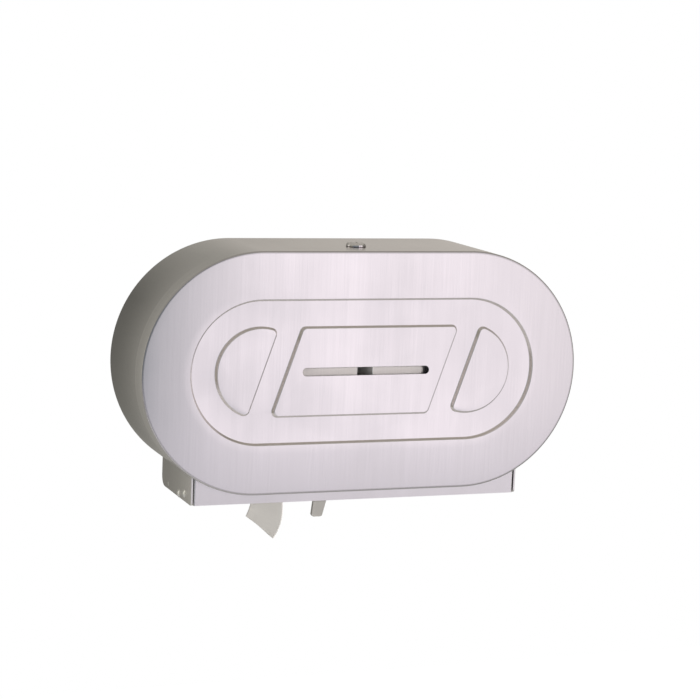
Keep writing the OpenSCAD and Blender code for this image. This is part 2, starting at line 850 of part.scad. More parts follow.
module paper_roll(x, r) color("whitesmoke")
    roll_at(x) tube(paper_out, paper_front, r, core_r + seat);

module core(x) color("tan")
    roll_at(x) tube(paper_out, paper_front, core_r, core_r - core_t);

// spool with a rear flange, an outer drum that carries the core and a ribbed sleeve
module hub(x) color("dimgray") {
    drum_r = core_r - core_t - 2 * seat;
    rib_in = sleeve_r - sleeve_wall / 2;
    roll_at(x) {
        tube(hub_rear, hub_rear + hub_flange_t, hub_flange_r, stud_r + run_gap);
        tube(hub_rear, paper_front, drum_r, drum_r - hub_wall);
        tube(hub_rear, sleeve_end, sleeve_r, stud_r + run_gap);
        for (i = [0:hub_ribs - 1])
            rotate([0, 0, i * 360 / hub_ribs])
                translate([rib_in, -hub_wall / 2, hub_rear])
                    cube([drum_r - hub_wall / 2 - rib_in, hub_wall, paper_front - hub_rear]);
    }
}

module hub_cap(x) color("dimgray")
    roll_at(x) difference() {
        union() {
            translate([0, 0, cap_rear]) cylinder(h = hub_flange_t / 2, r = hub_flange_r);
            translate([0, 0, cap_rear + hub_flange_t / 2])
                cylinder(h = hub_flange_t / 2, r1 = hub_flange_r, r2 = hub_flange_r - cap_chamfer);
        }
        translate([0, 0, cap_rear - past]) cylinder(h = hub_flange_t + 2 * past, r = sleeve_r + seat);
    }

module left_paper_roll() paper_roll(-spindle_x, left_roll_r);

module left_core() core(-spindle_x);

module left_hub() hub(-spindle_x);

module left_hub_cap() hub_cap(-spindle_x);

module right_paper_roll() paper_roll(spindle_x, right_roll_r);

module right_core() core(spindle_x);

module right_hub() hub(spindle_x);

module right_hub_cap() hub_cap(spindle_x);

// ---- shutter ----

module tab_rivets_at() {
    for (x = [-1, 1])
        translate([tab_x + x * (tab_flange / 2 - tab_rivet_inset), -tab_out, 0])
            children();
}

module shutter_panel() color("silver") {
    rear = rear_rail_front - rail_depth + shutter_edge;
    front = front_rail_rear + rail_depth - shutter_edge;
    difference() {
        translate([shutter_left, -front, shutter_z])
            cube([shutter_right - shutter_left, front - rear, shutter_t]);
        translate([0, 0, shutter_z - past])
            tab_rivets_at() cylinder(h = shutter_t + 2 * past, r = tab_rivet_r + seat);
    }
}

// serrated strip under the panel's end: its teeth point away from the panel
module tear_strip() color("silver") {
    teeth = floor((strip_front - strip_rear) / tooth_pitch);
    points = [for (i = [0:teeth - 1]) each [
        [0, -strip_rear - i * tooth_pitch],
        [tooth_reach, -strip_rear - (i + 0.5) * tooth_pitch]
    ]];
    tip = -strip_rear - teeth * tooth_pitch;
    translate([0, 0, shutter_z - seat - strip_t])
        linear_extrude(strip_t)
            polygon(concat([[-strip_w, -strip_rear]], points, [[0, tip], [-strip_w, tip]]));
}

module left_tear_strip() translate([shutter_left, 0, 0]) mirror([1, 0, 0]) tear_strip();

module right_tear_strip() translate([shutter_right, 0, 0]) tear_strip();

// moulded grip: a flange under the panel and a slanted blade with round lower corners
module finger_tab() color("darkgray") {
    top = shutter_z - seat;
    flange_low = top - tab_flange_t;
    low = base_z - tab_drop;
    corner = tab_corner_r;
    foot = tab_x - tab_slant;
    half = tab_foot_w / 2;
    spread = (tab_w - tab_foot_w) / 2 / tab_drop;
    neck = half + spread * (top - tab_flange_t / 2 - low);
    neck_x = tab_x + tab_slant * (top - base_z) / tab_drop;
    difference() {
        union() {
            translate([tab_x - tab_flange / 2, -tab_out - tab_flange_d / 2, flange_low])
                cube([tab_flange, tab_flange_d, tab_flange_t]);
            on_wall(tab_out - tab_d / 2)
                linear_extrude(tab_d) {
                    polygon([
                        [neck_x - neck, top - tab_flange_t / 2], [neck_x + neck, top - tab_flange_t / 2],
                        [foot + half, low + corner], [foot + half - corner, low],
                        [foot - half + corner, low], [foot - half, low + corner]
                    ]);
                    for (side = [-1, 1])
                        translate([foot + side * (half - corner), low + corner])
                            circle(corner);
                }
        }
        translate([0, 0, flange_low - past])
            tab_rivets_at() cylinder(h = tab_flange_t + 2 * past, r = tab_rivet_r + seat);
    }
}

module tab_rivets() color("silver")
    translate([0, 0, shutter_z + shutter_t])
        tab_rivets_at()
            rivet(tab_rivet_r + tab_rivet_lip, tab_rivet_h, tab_rivet_r, shutter_t + tab_flange_t);

back_plate();
base_frame();
front_rail();
rear_rail();
base_rivets();
left_spindle();
right_spindle();
spindle_rivets();
left_retainer();
right_retainer();
latch_keeper();
keeper_rivets();
left_hinge_pin();
right_hinge_pin();
hinge_washers();
paper_tail();
front_cover();
left_side_plate();
right_side_plate();
side_glides();
side_rivets();
lock_body();
lock_washer();
lock_nut();
lock_plug();
lock_cam();
cam_screw();
left_paper_roll();
left_core();
left_hub();
left_hub_cap();
right_paper_roll();
right_core();
right_hub();
right_hub_cap();
shutter_panel();
left_tear_strip();
right_tear_strip();
finger_tab();
tab_rivets();
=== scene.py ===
import bmesh, bpy, math, random
from mathutils import Matrix, Vector, geometry


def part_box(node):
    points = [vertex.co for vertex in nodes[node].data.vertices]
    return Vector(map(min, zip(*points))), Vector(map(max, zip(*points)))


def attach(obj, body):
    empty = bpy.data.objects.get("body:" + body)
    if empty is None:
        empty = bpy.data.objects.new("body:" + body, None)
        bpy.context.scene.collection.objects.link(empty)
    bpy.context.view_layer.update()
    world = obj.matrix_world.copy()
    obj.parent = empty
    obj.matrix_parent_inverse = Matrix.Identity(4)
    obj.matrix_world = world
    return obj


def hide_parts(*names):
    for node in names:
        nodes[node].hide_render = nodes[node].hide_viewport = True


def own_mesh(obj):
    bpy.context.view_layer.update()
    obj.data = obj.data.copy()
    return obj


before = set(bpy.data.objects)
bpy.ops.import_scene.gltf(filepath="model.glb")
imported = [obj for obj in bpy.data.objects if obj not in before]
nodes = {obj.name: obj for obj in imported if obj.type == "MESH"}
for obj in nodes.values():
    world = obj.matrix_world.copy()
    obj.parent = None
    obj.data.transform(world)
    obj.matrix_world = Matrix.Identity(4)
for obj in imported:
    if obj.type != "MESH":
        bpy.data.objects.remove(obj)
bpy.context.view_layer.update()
mm = 0.001
rollX = 126.0            # mm from the middle to each roll's axis


cameraLook = {
    "place": (-0.905818, -2.403854, 0.402838),   # metres, in the object's frame
    "yaw": 0.3717,                               # radians, from straight into the wall towards +X
    "pitch": 0.1534,                             # radians, looking down
    "roll": 0.0425,
    "lens": 111.9, "sensor": 36,                 # mm
    "clipEnd": 50,                               # metres
}


def makeCamera(look):
    yaw, pitch, roll = look["yaw"], look["pitch"], look["roll"]
    ahead = Vector((math.sin(yaw) * math.cos(pitch), math.cos(yaw) * math.cos(pitch), -math.sin(pitch)))
    level = Vector((math.cos(yaw), -math.sin(yaw), 0))
    upright = level.cross(ahead)
    right = level * math.cos(roll) + upright * math.sin(roll)
    up = upright * math.cos(roll) - level * math.sin(roll)
    data = bpy.data.cameras.new("camera")
    data.lens = look["lens"]
    data.sensor_width = look["sensor"]
    data.clip_end = look["clipEnd"]
    camera = bpy.data.objects.new("camera", data)
    turn = Matrix((right, up, -ahead)).transposed().to_4x4()
    camera.matrix_world = Matrix.Translation(look["place"]) @ turn
    bpy.context.scene.collection.objects.link(camera)
    bpy.context.scene.camera = camera


def addNode(tree, kind, **values):
    node = tree.nodes.new(kind)
    for name, value in values.items():
        setattr(node, name, value)
    return node


def mapValue(tree, source, low, high, start=0.0, end=1.0, shape="LINEAR"):
    node = addNode(tree, "ShaderNodeMapRange", interpolation_type=shape)
    for label, value in (("From Min", start), ("From Max", end), ("To Min", low), ("To Max", high)):
        node.inputs[label].default_value = value
    tree.links.new(source, node.inputs["Value"])
    return node.outputs["Result"]


# from 0 to 1 as a value goes from start to end
def maskOf(tree, source, start, end, shape="LINEAR"):
    return mapValue(tree, source, 0.0, 1.0, start, end, shape)


def mixColour(tree, factor, first, second, blend="MIX"):
    node = addNode(tree, "ShaderNodeMix", data_type="RGBA", blend_type=blend)
    tree.links.new(factor, node.inputs[0])
    for socket, value in ((node.inputs[6], first), (node.inputs[7], second)):    # the colour sockets
        if isinstance(value, tuple):
            socket.default_value = (*value, 1)
        else:
            tree.links.new(value, socket)
    return node.outputs[2]


def addMath(tree, operation, first, second=0.0):
    node = addNode(tree, "ShaderNodeMath", operation=operation)
    for socket, value in ((node.inputs[0], first), (node.inputs[1], second)):
        if isinstance(value, (int, float)):
            socket.default_value = value
        else:
            tree.links.new(value, socket)
    return node.outputs[0]


def product(tree, first, second):
    return addMath(tree, "MULTIPLY", first, second)


# the X, Y and Z of a texture coordinate, such as a point's place or its normal in the object's frame
def partsOf(tree, output):
    coords = addNode(tree, "ShaderNodeTexCoord")
    split = addNode(tree, "ShaderNodeSeparateXYZ")
    tree.links.new(coords.outputs[output], split.inputs[0])
    return split.outputs


def addBump(tree, shader, height, distance, strength=1.0):
    bump = addNode(tree, "ShaderNodeBump")
    bump.inputs["Distance"].default_value = distance
    bump.inputs["Strength"].default_value = strength
    tree.links.new(height, bump.inputs["Height"])
    tree.links.new(bump.outputs[0], shader.inputs["Normal"])


studio = {
    # colours of the room by direction: the face mirrors the front, the skirt mirrors what is behind
    "frontLeft": (0.235, 0.26, 0.28), "frontRight": (1.21, 1.13, 1.18), "frontFar": (0.86, 0.81, 0.84),
    "frontEdge": (1.38, 1.30, 1.30), "frontLow": (0.64, 0.62, 0.67), "rimStrip": (0.85, 0.82, 0.75),
    "behindLeft": (0.29, 0.283, 0.25), "behindRight": (0.54, 0.505, 0.46),
    "beside": (0.34, 0.33, 0.28), "besideRight": (0.21, 0.20, 0.175),
    "above": (0.46, 0.44, 0.39), "below": (0.20, 0.19, 0.16), "seen": (1.0, 1.0, 1.0),
    # where one colour gives way to the next, as parts of the direction
    "rightFrom": (0.175, 0.325), "farFrom": (0.38, 0.52), "edgeFrom": (0.62, 0.75),
    "lowFrom": (-0.175, -0.31), "behindRightFrom": (0.10, 0.46), "besideRightFrom": (-0.2, 0.2),
    "besideFrom": (-0.70, -0.30), "stripAside": (-0.70, -0.86), "stripFrom": (0.12, 0.30),
    "behindFrom": (0.50, 0.80), "aboveFrom": (0.30, 0.65), "belowFrom": (-0.60, -0.90),
    "keyPower": 33.0, "keySize": 1.6, "keyPlace": (-2.0, -1.9, -0.3),
    "fillPower": 44.0, "fillSize": 0.4, "fillPlace": (-0.1, -2.5, 0.40), "aimAt": (0, -0.1, 0),
    "floorLevel": -1.4, "floorReach": 3.0, "floorGrey": 0.5, "floorGlow": 0.12,
}


def makeWorld(look):
    world = bpy.data.worlds.new("studioRoom")
    bpy.context.scene.world = world
    world.use_nodes = True
    tree = world.node_tree
    tree.nodes.clear()
    direction = partsOf(tree, "Generated")

    def blend(part, fromTo, first, second):
        return mixColour(tree, maskOf(tree, direction[part], *look[fromTo], "SMOOTHSTEP"), first, second)

    across = blend("X", "rightFrom", look["frontLeft"], look["frontRight"])
    wide = blend("X", "farFrom", across, look["frontFar"])
    edged = blend("X", "edgeFrom", wide, look["frontEdge"])
    ahead = blend("Z", "lowFrom", edged, look["frontLow"])
    behind = blend("X", "behindRightFrom", look["behindLeft"], look["behindRight"])
    flank = blend("X", "besideRightFrom", look["beside"], look["besideRight"])
    side = blend("Y", "besideFrom", ahead, flank)
    strip = blend("X", "stripAside", side, look["rimStrip"])
    back = blend("Y", "stripFrom", side, strip)
    around = blend("Y", "behindFrom", back, behind)
    upper = blend("Z", "aboveFrom", around, look["above"])
    level = blend("Z", "belowFrom", upper, look["below"])
    path = addNode(tree, "ShaderNodeLightPath")
    seen = mixColour(tree, path.outputs["Is Camera Ray"], level, look["seen"])
    light = addNode(tree, "ShaderNodeBackground")
    out = addNode(tree, "ShaderNodeOutputWorld")
    tree.links.new(seen, light.inputs["Color"])
    tree.links.new(light.outputs[0], out.inputs[0])


def makeLight(name, place, size, power, aimAt):
    data = bpy.data.lights.new(name, "AREA")
    data.shape = "DISK"
    data.size = size
    data.energy = power
    lamp = bpy.data.objects.new(name, data)
    lamp.location = place
    lamp.rotation_euler = (Vector(aimAt) - Vector(place)).to_track_quat("-Z", "Y").to_euler()
    lamp.visible_glossy = False                  # the steel mirrors the room alone
    bpy.context.scene.collection.objects.link(lamp)


def newMaterial(name):
    material = bpy.data.materials.new(name)
    material.use_nodes = True
    return material, material.node_tree, material.node_tree.nodes["Principled BSDF"]


def makeFloor(look):
    reach, level = look["floorReach"], look["floorLevel"]
    mesh = bpy.data.meshes.new("floor")
    corners = [(x * reach, y * reach, level) for x, y in ((-1, -1), (1, -1), (1, 1), (-1, 1))]
    mesh.from_pydata(corners, [], [(0, 1, 2, 3)])
    floor = bpy.data.objects.new("floor", mesh)
    bpy.context.scene.collection.objects.link(floor)
    paint, tree, shader = newMaterial("paleFloor")
    grey = look["floorGrey"]
    shader.inputs["Base Color"].default_value = (grey, grey, grey, 1)
    shader.inputs["Roughness"].default_value = 0.9
    shader.inputs["Emission Color"].default_value = (1, 1, 1, 1)
    path = addNode(tree, "ShaderNodeLightPath")
    glow = mapValue(tree, path.outputs["Is Camera Ray"], look["floorGlow"], 1.0)
    tree.links.new(glow, shader.inputs["Emission Strength"])
    mesh.materials.append(paint)


def makeGroup(name, inputs, outputs):
    group = bpy.data.node_groups.new(name, "ShaderNodeTree")
    for label, value in inputs:
        kind = "NodeSocketVector" if isinstance(value, tuple) else "NodeSocketFloat"
        socket = group.interface.new_socket(name=label, in_out="INPUT", socket_type=kind)
        socket.default_value = value
    for label in outputs:
        group.interface.new_socket(name=label, in_out="OUTPUT", socket_type="NodeSocketFloat")
    return group, group.nodes.new("NodeGroupInput"), group.nodes.new("NodeGroupOutput")


# brush lines, which are noise stretched along one direction, and broad bands of them: both from 0 to 1
def makeBrushGroup():
    inputs = [("Frequency", (1500.0, 30.0, 25.0)), ("Detail", 3.0)]
    bandScale, bandDetail = 0.06, 2
    group, given, result = makeGroup("brushLines", inputs, ["Lines", "Bands"])
    coords = addNode(group, "ShaderNodeTexCoord")
    stretch = addNode(group, "ShaderNodeVectorMath", operation="MULTIPLY")
    group.links.new(coords.outputs["Object"], stretch.inputs[0])
    group.links.new(given.outputs["Frequency"], stretch.inputs[1])
    fine = addNode(group, "ShaderNodeTexNoise")
    fine.inputs["Scale"].default_value = 1
    group.links.new(given.outputs["Detail"], fine.inputs["Detail"])
    group.links.new(stretch.outputs[0], fine.inputs["Vector"])
    group.links.new(fine.outputs["Fac"], result.inputs["Lines"])
    wide = addNode(group, "ShaderNodeTexNoise")
    wide.inputs["Scale"].default_value = bandScale
    wide.inputs["Detail"].default_value = bandDetail
    group.links.new(stretch.outputs[0], wide.inputs["Vector"])
    group.links.new(wide.outputs["Fac"], result.inputs["Bands"])
    return group


# soft blotches and fine speckle, from 0 to 1
def makeBlotchGroup():
    inputs = [("Scale", 12.0), ("Speckle Scale", 400.0)]
    group, given, result = makeGroup("blotches", inputs, ["Blotch", "Speckle"])
    coords = addNode(group, "ShaderNodeTexCoord")
    for label, output, detail in (("Scale", "Blotch", 3.0), ("Speckle Scale", "Speckle", 2.0)):
        noise = addNode(group, "ShaderNodeTexNoise")
        noise.inputs["Detail"].default_value = detail
        group.links.new(given.outputs[label], noise.inputs["Scale"])
        group.links.new(coords.outputs["Object"], noise.inputs["Vector"])
        group.links.new(noise.outputs["Fac"], result.inputs[output])
    return group


# worn edges: bright where the surface is sharply convex
def makeEdgeGroup():
    group, given, result = makeGroup("edgeWear", [("From", 0.52), ("To", 0.62)], ["Worn"])
    shape = addNode(group, "ShaderNodeNewGeometry")
    mask = addNode(group, "ShaderNodeMapRange")
    group.links.new(shape.outputs["Pointiness"], mask.inputs["Value"])
    group.links.new(given.outputs["From"], mask.inputs["From Min"])
    group.links.new(given.outputs["To"], mask.inputs["From Max"])
    group.links.new(mask.outputs["Result"], result.inputs["Worn"])
    return group


rearLook = {
    "fall": 1.8,                                     # power of the painted shade's fall from the front back to the wall
    "step": (-0.001, 0.001), "paintedLightAhead": 1.1,       # metres about the draw's line, and the painted lighter level ahead
    "ring": (0.0004, 0.0014), "highlightRingLevel": 1.18,     # painted highlight ring at the line, in metres from it
    "side": (-0.35, -0.85),                          # the normal's X where the side starts and is full
}


# painted shade on the side that faces -X of a drawn piece: its level falls from the draw's line back towards
# the wall; a painted lighter level in front of the line and a painted highlight ring at it
def makeRearGroup(look):
    inputs = [("Deep", 0.135), ("Rear", 0.3), ("Front", 1.0), ("Line", 0.109)]
    group, given, result = makeGroup("rearShade", inputs, ["Level", "Side"])
    out = product(group, partsOf(group, "Object")["Y"], -1.0)           # metres out from the wall
    ahead = addMath(group, "POWER", addMath(group, "DIVIDE", out, given.outputs["Deep"]), look["fall"])
    rise = addMath(group, "SUBTRACT", given.outputs["Front"], given.outputs["Rear"])
    level = addMath(group, "ADD", product(group, ahead, rise), given.outputs["Rear"])
    past = addMath(group, "SUBTRACT", out, given.outputs["Line"])
    # painted light in front of the draw's line, and a painted highlight ring at the line
    step = mapValue(group, past, 1.0, look["paintedLightAhead"], *look["step"])
    ring = mapValue(group, addMath(group, "ABSOLUTE", past), look["highlightRingLevel"], 1.0, *look["ring"])
    group.links.new(product(group, level, product(group, step, ring)), result.inputs["Level"])
    side = maskOf(group, partsOf(group, "Normal")["X"], *look["side"])
    group.links.new(side, result.inputs["Side"])
    return group


groups = {
    "brush": makeBrushGroup(), "blotch": makeBlotchGroup(), "edge": makeEdgeGroup(),
    "rear": makeRearGroup(rearLook),
}


def useGroup(tree, key, **values):
    node = addNode(tree, "ShaderNodeGroup", node_tree=groups[key])
    for name, value in values.items():
        node.inputs[name.replace("_", " ")].default_value = value
    return node


# a colour made darker or lighter
def toned(colour, share, lift=0.0):
    return tuple(min(1, share * part + lift) for part in colour)


noiseSpan = (0.3, 0.7)       # the part of a noise's range that shows
patchSpan = (0.4, 0.8)       # the same for soft patches

sheetFeel = {
    "blotch": 9.0, "speckle": 700.0, "rubbed": 0.35, "grain": 0.000002,
    "bandSpan": (0.35, 0.65), "bandSheen": 0.01,             # roughness up and down in bands
    "markSpan": (0.35, 0.7), "markSheen": (-0.03, 0.04),     # roughness of soft hand marks
}


# satin sheet steel: brush lines, soft hand marks and rubbed edges
def sheetSteel(name, light, dark, roughness, frequency, feel=sheetFeel):
    material, tree, shader = newMaterial(name)
    shader.inputs["Metallic"].default_value = 1.0
    brush = useGroup(tree, "brush", Frequency=frequency)
    blotch = useGroup(tree, "blotch", Scale=feel["blotch"], Speckle_Scale=feel["speckle"])
    edge = useGroup(tree, "edge")
    tone = mixColour(tree, maskOf(tree, brush.outputs["Lines"], *noiseSpan), dark, light)
    rubbed = mixColour(tree, product(tree, edge.outputs["Worn"], feel["rubbed"]), tone, light)
    tree.links.new(rubbed, shader.inputs["Base Color"])
    low, high = roughness - feel["bandSheen"], roughness + feel["bandSheen"]
    base = mapValue(tree, brush.outputs["Bands"], low, high, *feel["bandSpan"])
    marks = mapValue(tree, blotch.outputs["Blotch"], *feel["markSheen"], *feel["markSpan"])
    tree.links.new(addMath(tree, "ADD", base, marks), shader.inputs["Roughness"])
    addBump(tree, shader, brush.outputs["Lines"], feel["grain"])
    return material


# multiplies a material's base colour by another colour where a mask is 1
def dimWhere(tree, mask, colour):
    shader = tree.nodes["Principled BSDF"]
    base = shader.inputs["Base Color"].links[0].from_socket
    tree.links.new(mixColour(tree, mask, base, colour, "MULTIPLY"), shader.inputs["Base Color"])


coverShade = {"deep": 0.135, "rear": 0.31, "front": 1.0, "line": 0.109}     # depths in metres, and levels of the painted shade and light
sideShade = {"deep": 0.123, "rear": 0.62, "front": 1.1, "line": 0.122}


# painted shade towards the wall on the side that faces -X, and painted light in front of the draw's line with
# a painted highlight ring at it
def shadeRear(material, look):
    tree = material.node_tree
    values = {"Deep": look["deep"], "Line": look["line"], "Rear": look["rear"], "Front": look["front"]}
    shade = useGroup(tree, "rear", **values)
    dimWhere(tree, shade.outputs["Side"], shade.outputs["Level"])
    return material


coverPaintedShade = {
    "core": 0.1258,                              # metres, half the length of the line between the round ends
    "rim": (0.1353, 0.1366), "within": (0.0870, 0.0880),                         # metres from that line
    "rimDepth": (-0.1310, -0.1315), "wallDepth": (-0.1344, -0.1338),             # Y in metres
    "steep": (-0.95, -0.75), "rightward": (0.15, 0.45), "upward": (0.0, 0.25),   # parts of the normal
    "rimShadeLevel": (0.66, 0.66, 0.66), "steepWallShade": (0.96, 0.94, 0.89), "upRightWallShade": (0.62, 0.608, 0.595),
}


# painted shade: the cover's rolled edge is darkened, and its embossed walls too, most where they face up and
# right
def paintCoverShade(material, look):
    tree = material.node_tree
    place, turned = partsOf(tree, "Object"), partsOf(tree, "Normal")

    # how far a point is from the line between the centres of the round ends
    aside = addMath(tree, "SUBTRACT", addMath(tree, "ABSOLUTE", place["X"]), look["core"])
    aside = addMath(tree, "MAXIMUM", aside)
    squares = addMath(tree, "ADD", product(tree, aside, aside), product(tree, place["Z"], place["Z"]))
    reach = addMath(tree, "SQRT", squares)

    # painted shade on the rolled edge
    rim = maskOf(tree, reach, *look["rim"])
    dimWhere(tree, product(tree, rim, maskOf(tree, place["Y"], *look["rimDepth"])), look["rimShadeLevel"])

    # painted shade in the embossed walls, darker still where they face up and right
    sunken = maskOf(tree, place["Y"], *look["wallDepth"])
    embossed = product(tree, sunken, mapValue(tree, reach, 1.0, 0.0, *look["within"]))
    steep = maskOf(tree, turned["Y"], *look["steep"])
    dimWhere(tree, product(tree, embossed, steep), look["steepWallShade"])
    right, upward = maskOf(tree, turned["X"], *look["rightward"]), maskOf(tree, turned["Z"], *look["upward"])
    dimWhere(tree, product(tree, embossed, product(tree, right, upward)), look["upRightWallShade"])
    return material


metalFeel = {
    "edgeFrom": 0.5, "edgeTo": 0.58, "dark": 0.72, "rubbed": 1.15,       # shares of the colour
    "sheen": (0.75, 1.3), "grain": 0.00002, "grainShare": 0.4,           # shares of the roughness, and metres
}


# bright or turned small parts
def smallMetal(name, colour, roughness, frequency=(900.0, 900.0, 900.0), feel=metalFeel):
    material, tree, shader = newMaterial(name)
    shader.inputs["Metallic"].default_value = 1.0
    brush = useGroup(tree, "brush", Frequency=frequency)
    edge = useGroup(tree, "edge", From=feel["edgeFrom"], To=feel["edgeTo"])
    lines = maskOf(tree, brush.outputs["Lines"], *noiseSpan)
    tone = mixColour(tree, lines, toned(colour, feel["dark"]), colour)
    rubbed = mixColour(tree, edge.outputs["Worn"], tone, toned(colour, feel["rubbed"]))
    tree.links.new(rubbed, shader.inputs["Base Color"])
    low, high = (roughness * share for share in feel["sheen"])
    sheen = mapValue(tree, brush.outputs["Bands"], low, high, *noiseSpan)
    tree.links.new(sheen, shader.inputs["Roughness"])
    addBump(tree, shader, brush.outputs["Lines"], feel["grain"], feel["grainShare"])
    return material


lockFootShade = {"heights": (0.1389, 0.1398), "colour": (0.10, 0.07, 0.075)}    # metres, in the object's frame


# painted shade: a dark colour in the angle where the lock meets the cover's top
def paintFootShade(material, look):
    tree = material.node_tree
    shader = tree.nodes["Principled BSDF"]
    tone = shader.inputs["Base Color"].links[0].from_socket
    height = maskOf(tree, partsOf(tree, "Object")["Z"], *look["heights"])
    tree.links.new(mixColour(tree, height, look["colour"], tone), shader.inputs["Base Color"])
    return material


plasticFeel = {
    "blotch": 40.0, "speckle": 1500.0, "edgeFrom": 0.52, "edgeTo": 0.6,
    "dark": 0.85, "rubbed": 1.35, "pale": 0.03, "sheen": (-0.06, 0.08), "texture": 0.00003,
}


# plastic with a fine moulded texture and paler rubbed edges
def mouldedPlastic(name, colour, roughness, feel=plasticFeel):
    material, tree, shader = newMaterial(name)
    blotch = useGroup(tree, "blotch", Scale=feel["blotch"], Speckle_Scale=feel["speckle"])
    edge = useGroup(tree, "edge", From=feel["edgeFrom"], To=feel["edgeTo"])
    tone = mixColour(tree, blotch.outputs["Blotch"], toned(colour, feel["dark"]), colour)
    worn = mixColour(tree, edge.outputs["Worn"], tone, toned(colour, feel["rubbed"], feel["pale"]))
    tree.links.new(worn, shader.inputs["Base Color"])
    low, high = (roughness + change for change in feel["sheen"])
    sheen = mapValue(tree, blotch.outputs["Speckle"], low, high, *noiseSpan)
    tree.links.new(sheen, shader.inputs["Roughness"])
    addBump(tree, shader, blotch.outputs["Speckle"], feel["texture"])
    return material


tissueFeel = {
    "roughness": 0.9, "sheen": 0.25, "blotch": 60.0, "speckle": 2200.0,
    "dots": 260, "dotScatter": 0.15, "dotSpan": (0.1, 0.6),              # embossed dots and their slopes
    "shade": 0.9, "patch": 0.5, "patchTone": 0.94,
    "crepe": 0.6, "relief": 0.00008, "reliefShare": 0.6,
}


# tissue: fine crepe across the sheet and soft embossed dots
def tissuePaper(name, colour, crepe, feel=tissueFeel):
    material, tree, shader = newMaterial(name)
    shader.inputs["Roughness"].default_value = feel["roughness"]
    shader.inputs["Sheen Weight"].default_value = feel["sheen"]
    brush = useGroup(tree, "brush", Frequency=crepe)
    blotch = useGroup(tree, "blotch", Scale=feel["blotch"], Speckle_Scale=feel["speckle"])
    coords = addNode(tree, "ShaderNodeTexCoord")
    dots = addNode(tree, "ShaderNodeTexVoronoi")
    dots.inputs["Scale"].default_value = feel["dots"]
    dots.inputs["Randomness"].default_value = feel["dotScatter"]
    tree.links.new(coords.outputs["Object"], dots.inputs["Vector"])
    pressed = maskOf(tree, dots.outputs["Distance"], *feel["dotSpan"])
    shade = mixColour(tree, brush.outputs["Lines"], toned(colour, feel["shade"]), colour)
    patches = mapValue(tree, blotch.outputs["Blotch"], 0.0, feel["patch"], *patchSpan)
    tone = mixColour(tree, patches, shade, toned(colour, feel["patchTone"]))
    tree.links.new(tone, shader.inputs["Base Color"])
    height = addMath(tree, "ADD", product(tree, brush.outputs["Lines"], feel["crepe"]), pressed)
    addBump(tree, shader, height, feel["relief"], feel["reliefShare"])
    return material


woundFeel = {
    "roughness": 0.92, "rings": 900, "ringDetail": 4, "blotch": 30.0, "speckle": 1800.0,
    "shade": 0.9, "patch": 0.3, "patchTone": 0.9, "relief": 0.0002, "reliefShare": 0.7,
}


# the flat end of a wound roll: thin rings about the roll's axis
def woundPaper(name, colour, axisX, feel=woundFeel):
    material, tree, shader = newMaterial(name)
    shader.inputs["Roughness"].default_value = feel["roughness"]
    coords = addNode(tree, "ShaderNodeTexCoord")
    away = addNode(tree, "ShaderNodeVectorMath", operation="SUBTRACT")
    away.inputs[1].default_value = (axisX * mm, 0, 0)
    flat = addNode(tree, "ShaderNodeVectorMath", operation="MULTIPLY")
    flat.inputs[1].default_value = (1, 0, 1)
    reach = addNode(tree, "ShaderNodeVectorMath", operation="LENGTH")
    tree.links.new(coords.outputs["Object"], away.inputs[0])
    tree.links.new(away.outputs[0], flat.inputs[0])
    tree.links.new(flat.outputs[0], reach.inputs[0])
    rings = addNode(tree, "ShaderNodeTexNoise", noise_dimensions="1D")
    rings.inputs["Scale"].default_value = feel["rings"]
    rings.inputs["Detail"].default_value = feel["ringDetail"]
    tree.links.new(reach.outputs["Value"], rings.inputs["W"])
    blotch = useGroup(tree, "blotch", Scale=feel["blotch"], Speckle_Scale=feel["speckle"])
    layers = maskOf(tree, rings.outputs["Fac"], *noiseSpan)
    shade = mixColour(tree, layers, toned(colour, feel["shade"]), colour)
    patches = mapValue(tree, blotch.outputs["Blotch"], 0.0, feel["patch"], *patchSpan)
    tone = mixColour(tree, patches, shade, toned(colour, feel["patchTone"]))
    tree.links.new(tone, shader.inputs["Base Color"])
    height = addMath(tree, "ADD", rings.outputs["Fac"], blotch.outputs["Speckle"])
    addBump(tree, shader, height, feel["relief"], feel["reliefShare"])
    return material


cardFeel = {
    "roughness": 0.88, "fibres": (300.0, 40.0, 300.0), "blotch": 50.0, "speckle": 1200.0,
    "shade": 0.75, "fleck": 0.6, "fleckSpan": (0.55, 0.75), "fleckTone": 0.5, "relief": 0.0001,
}


# brown board with darker flecks
def cardboard(name, colour, feel=cardFeel):
    material, tree, shader = newMaterial(name)
    shader.inputs["Roughness"].default_value = feel["roughness"]
    brush = useGroup(tree, "brush", Frequency=feel["fibres"])
    blotch = useGroup(tree, "blotch", Scale=feel["blotch"], Speckle_Scale=feel["speckle"])
    shade = mixColour(tree, brush.outputs["Lines"], toned(colour, feel["shade"]), colour)
    flecks = mapValue(tree, blotch.outputs["Speckle"], 0.0, feel["fleck"], *feel["fleckSpan"])
    tone = mixColour(tree, flecks, shade, toned(colour, feel["fleckTone"]))
    tree.links.new(tone, shader.inputs["Base Color"])
    addBump(tree, shader, blotch.outputs["Speckle"], feel["relief"])
    return material


upright = (1400.0, 40.0, 14.0)       # brush lines that run up the face, and along each axis
alongX = (14.0, 900.0, 900.0)
alongY = (900.0, 14.0, 900.0)
alongZ = (900.0, 900.0, 14.0)

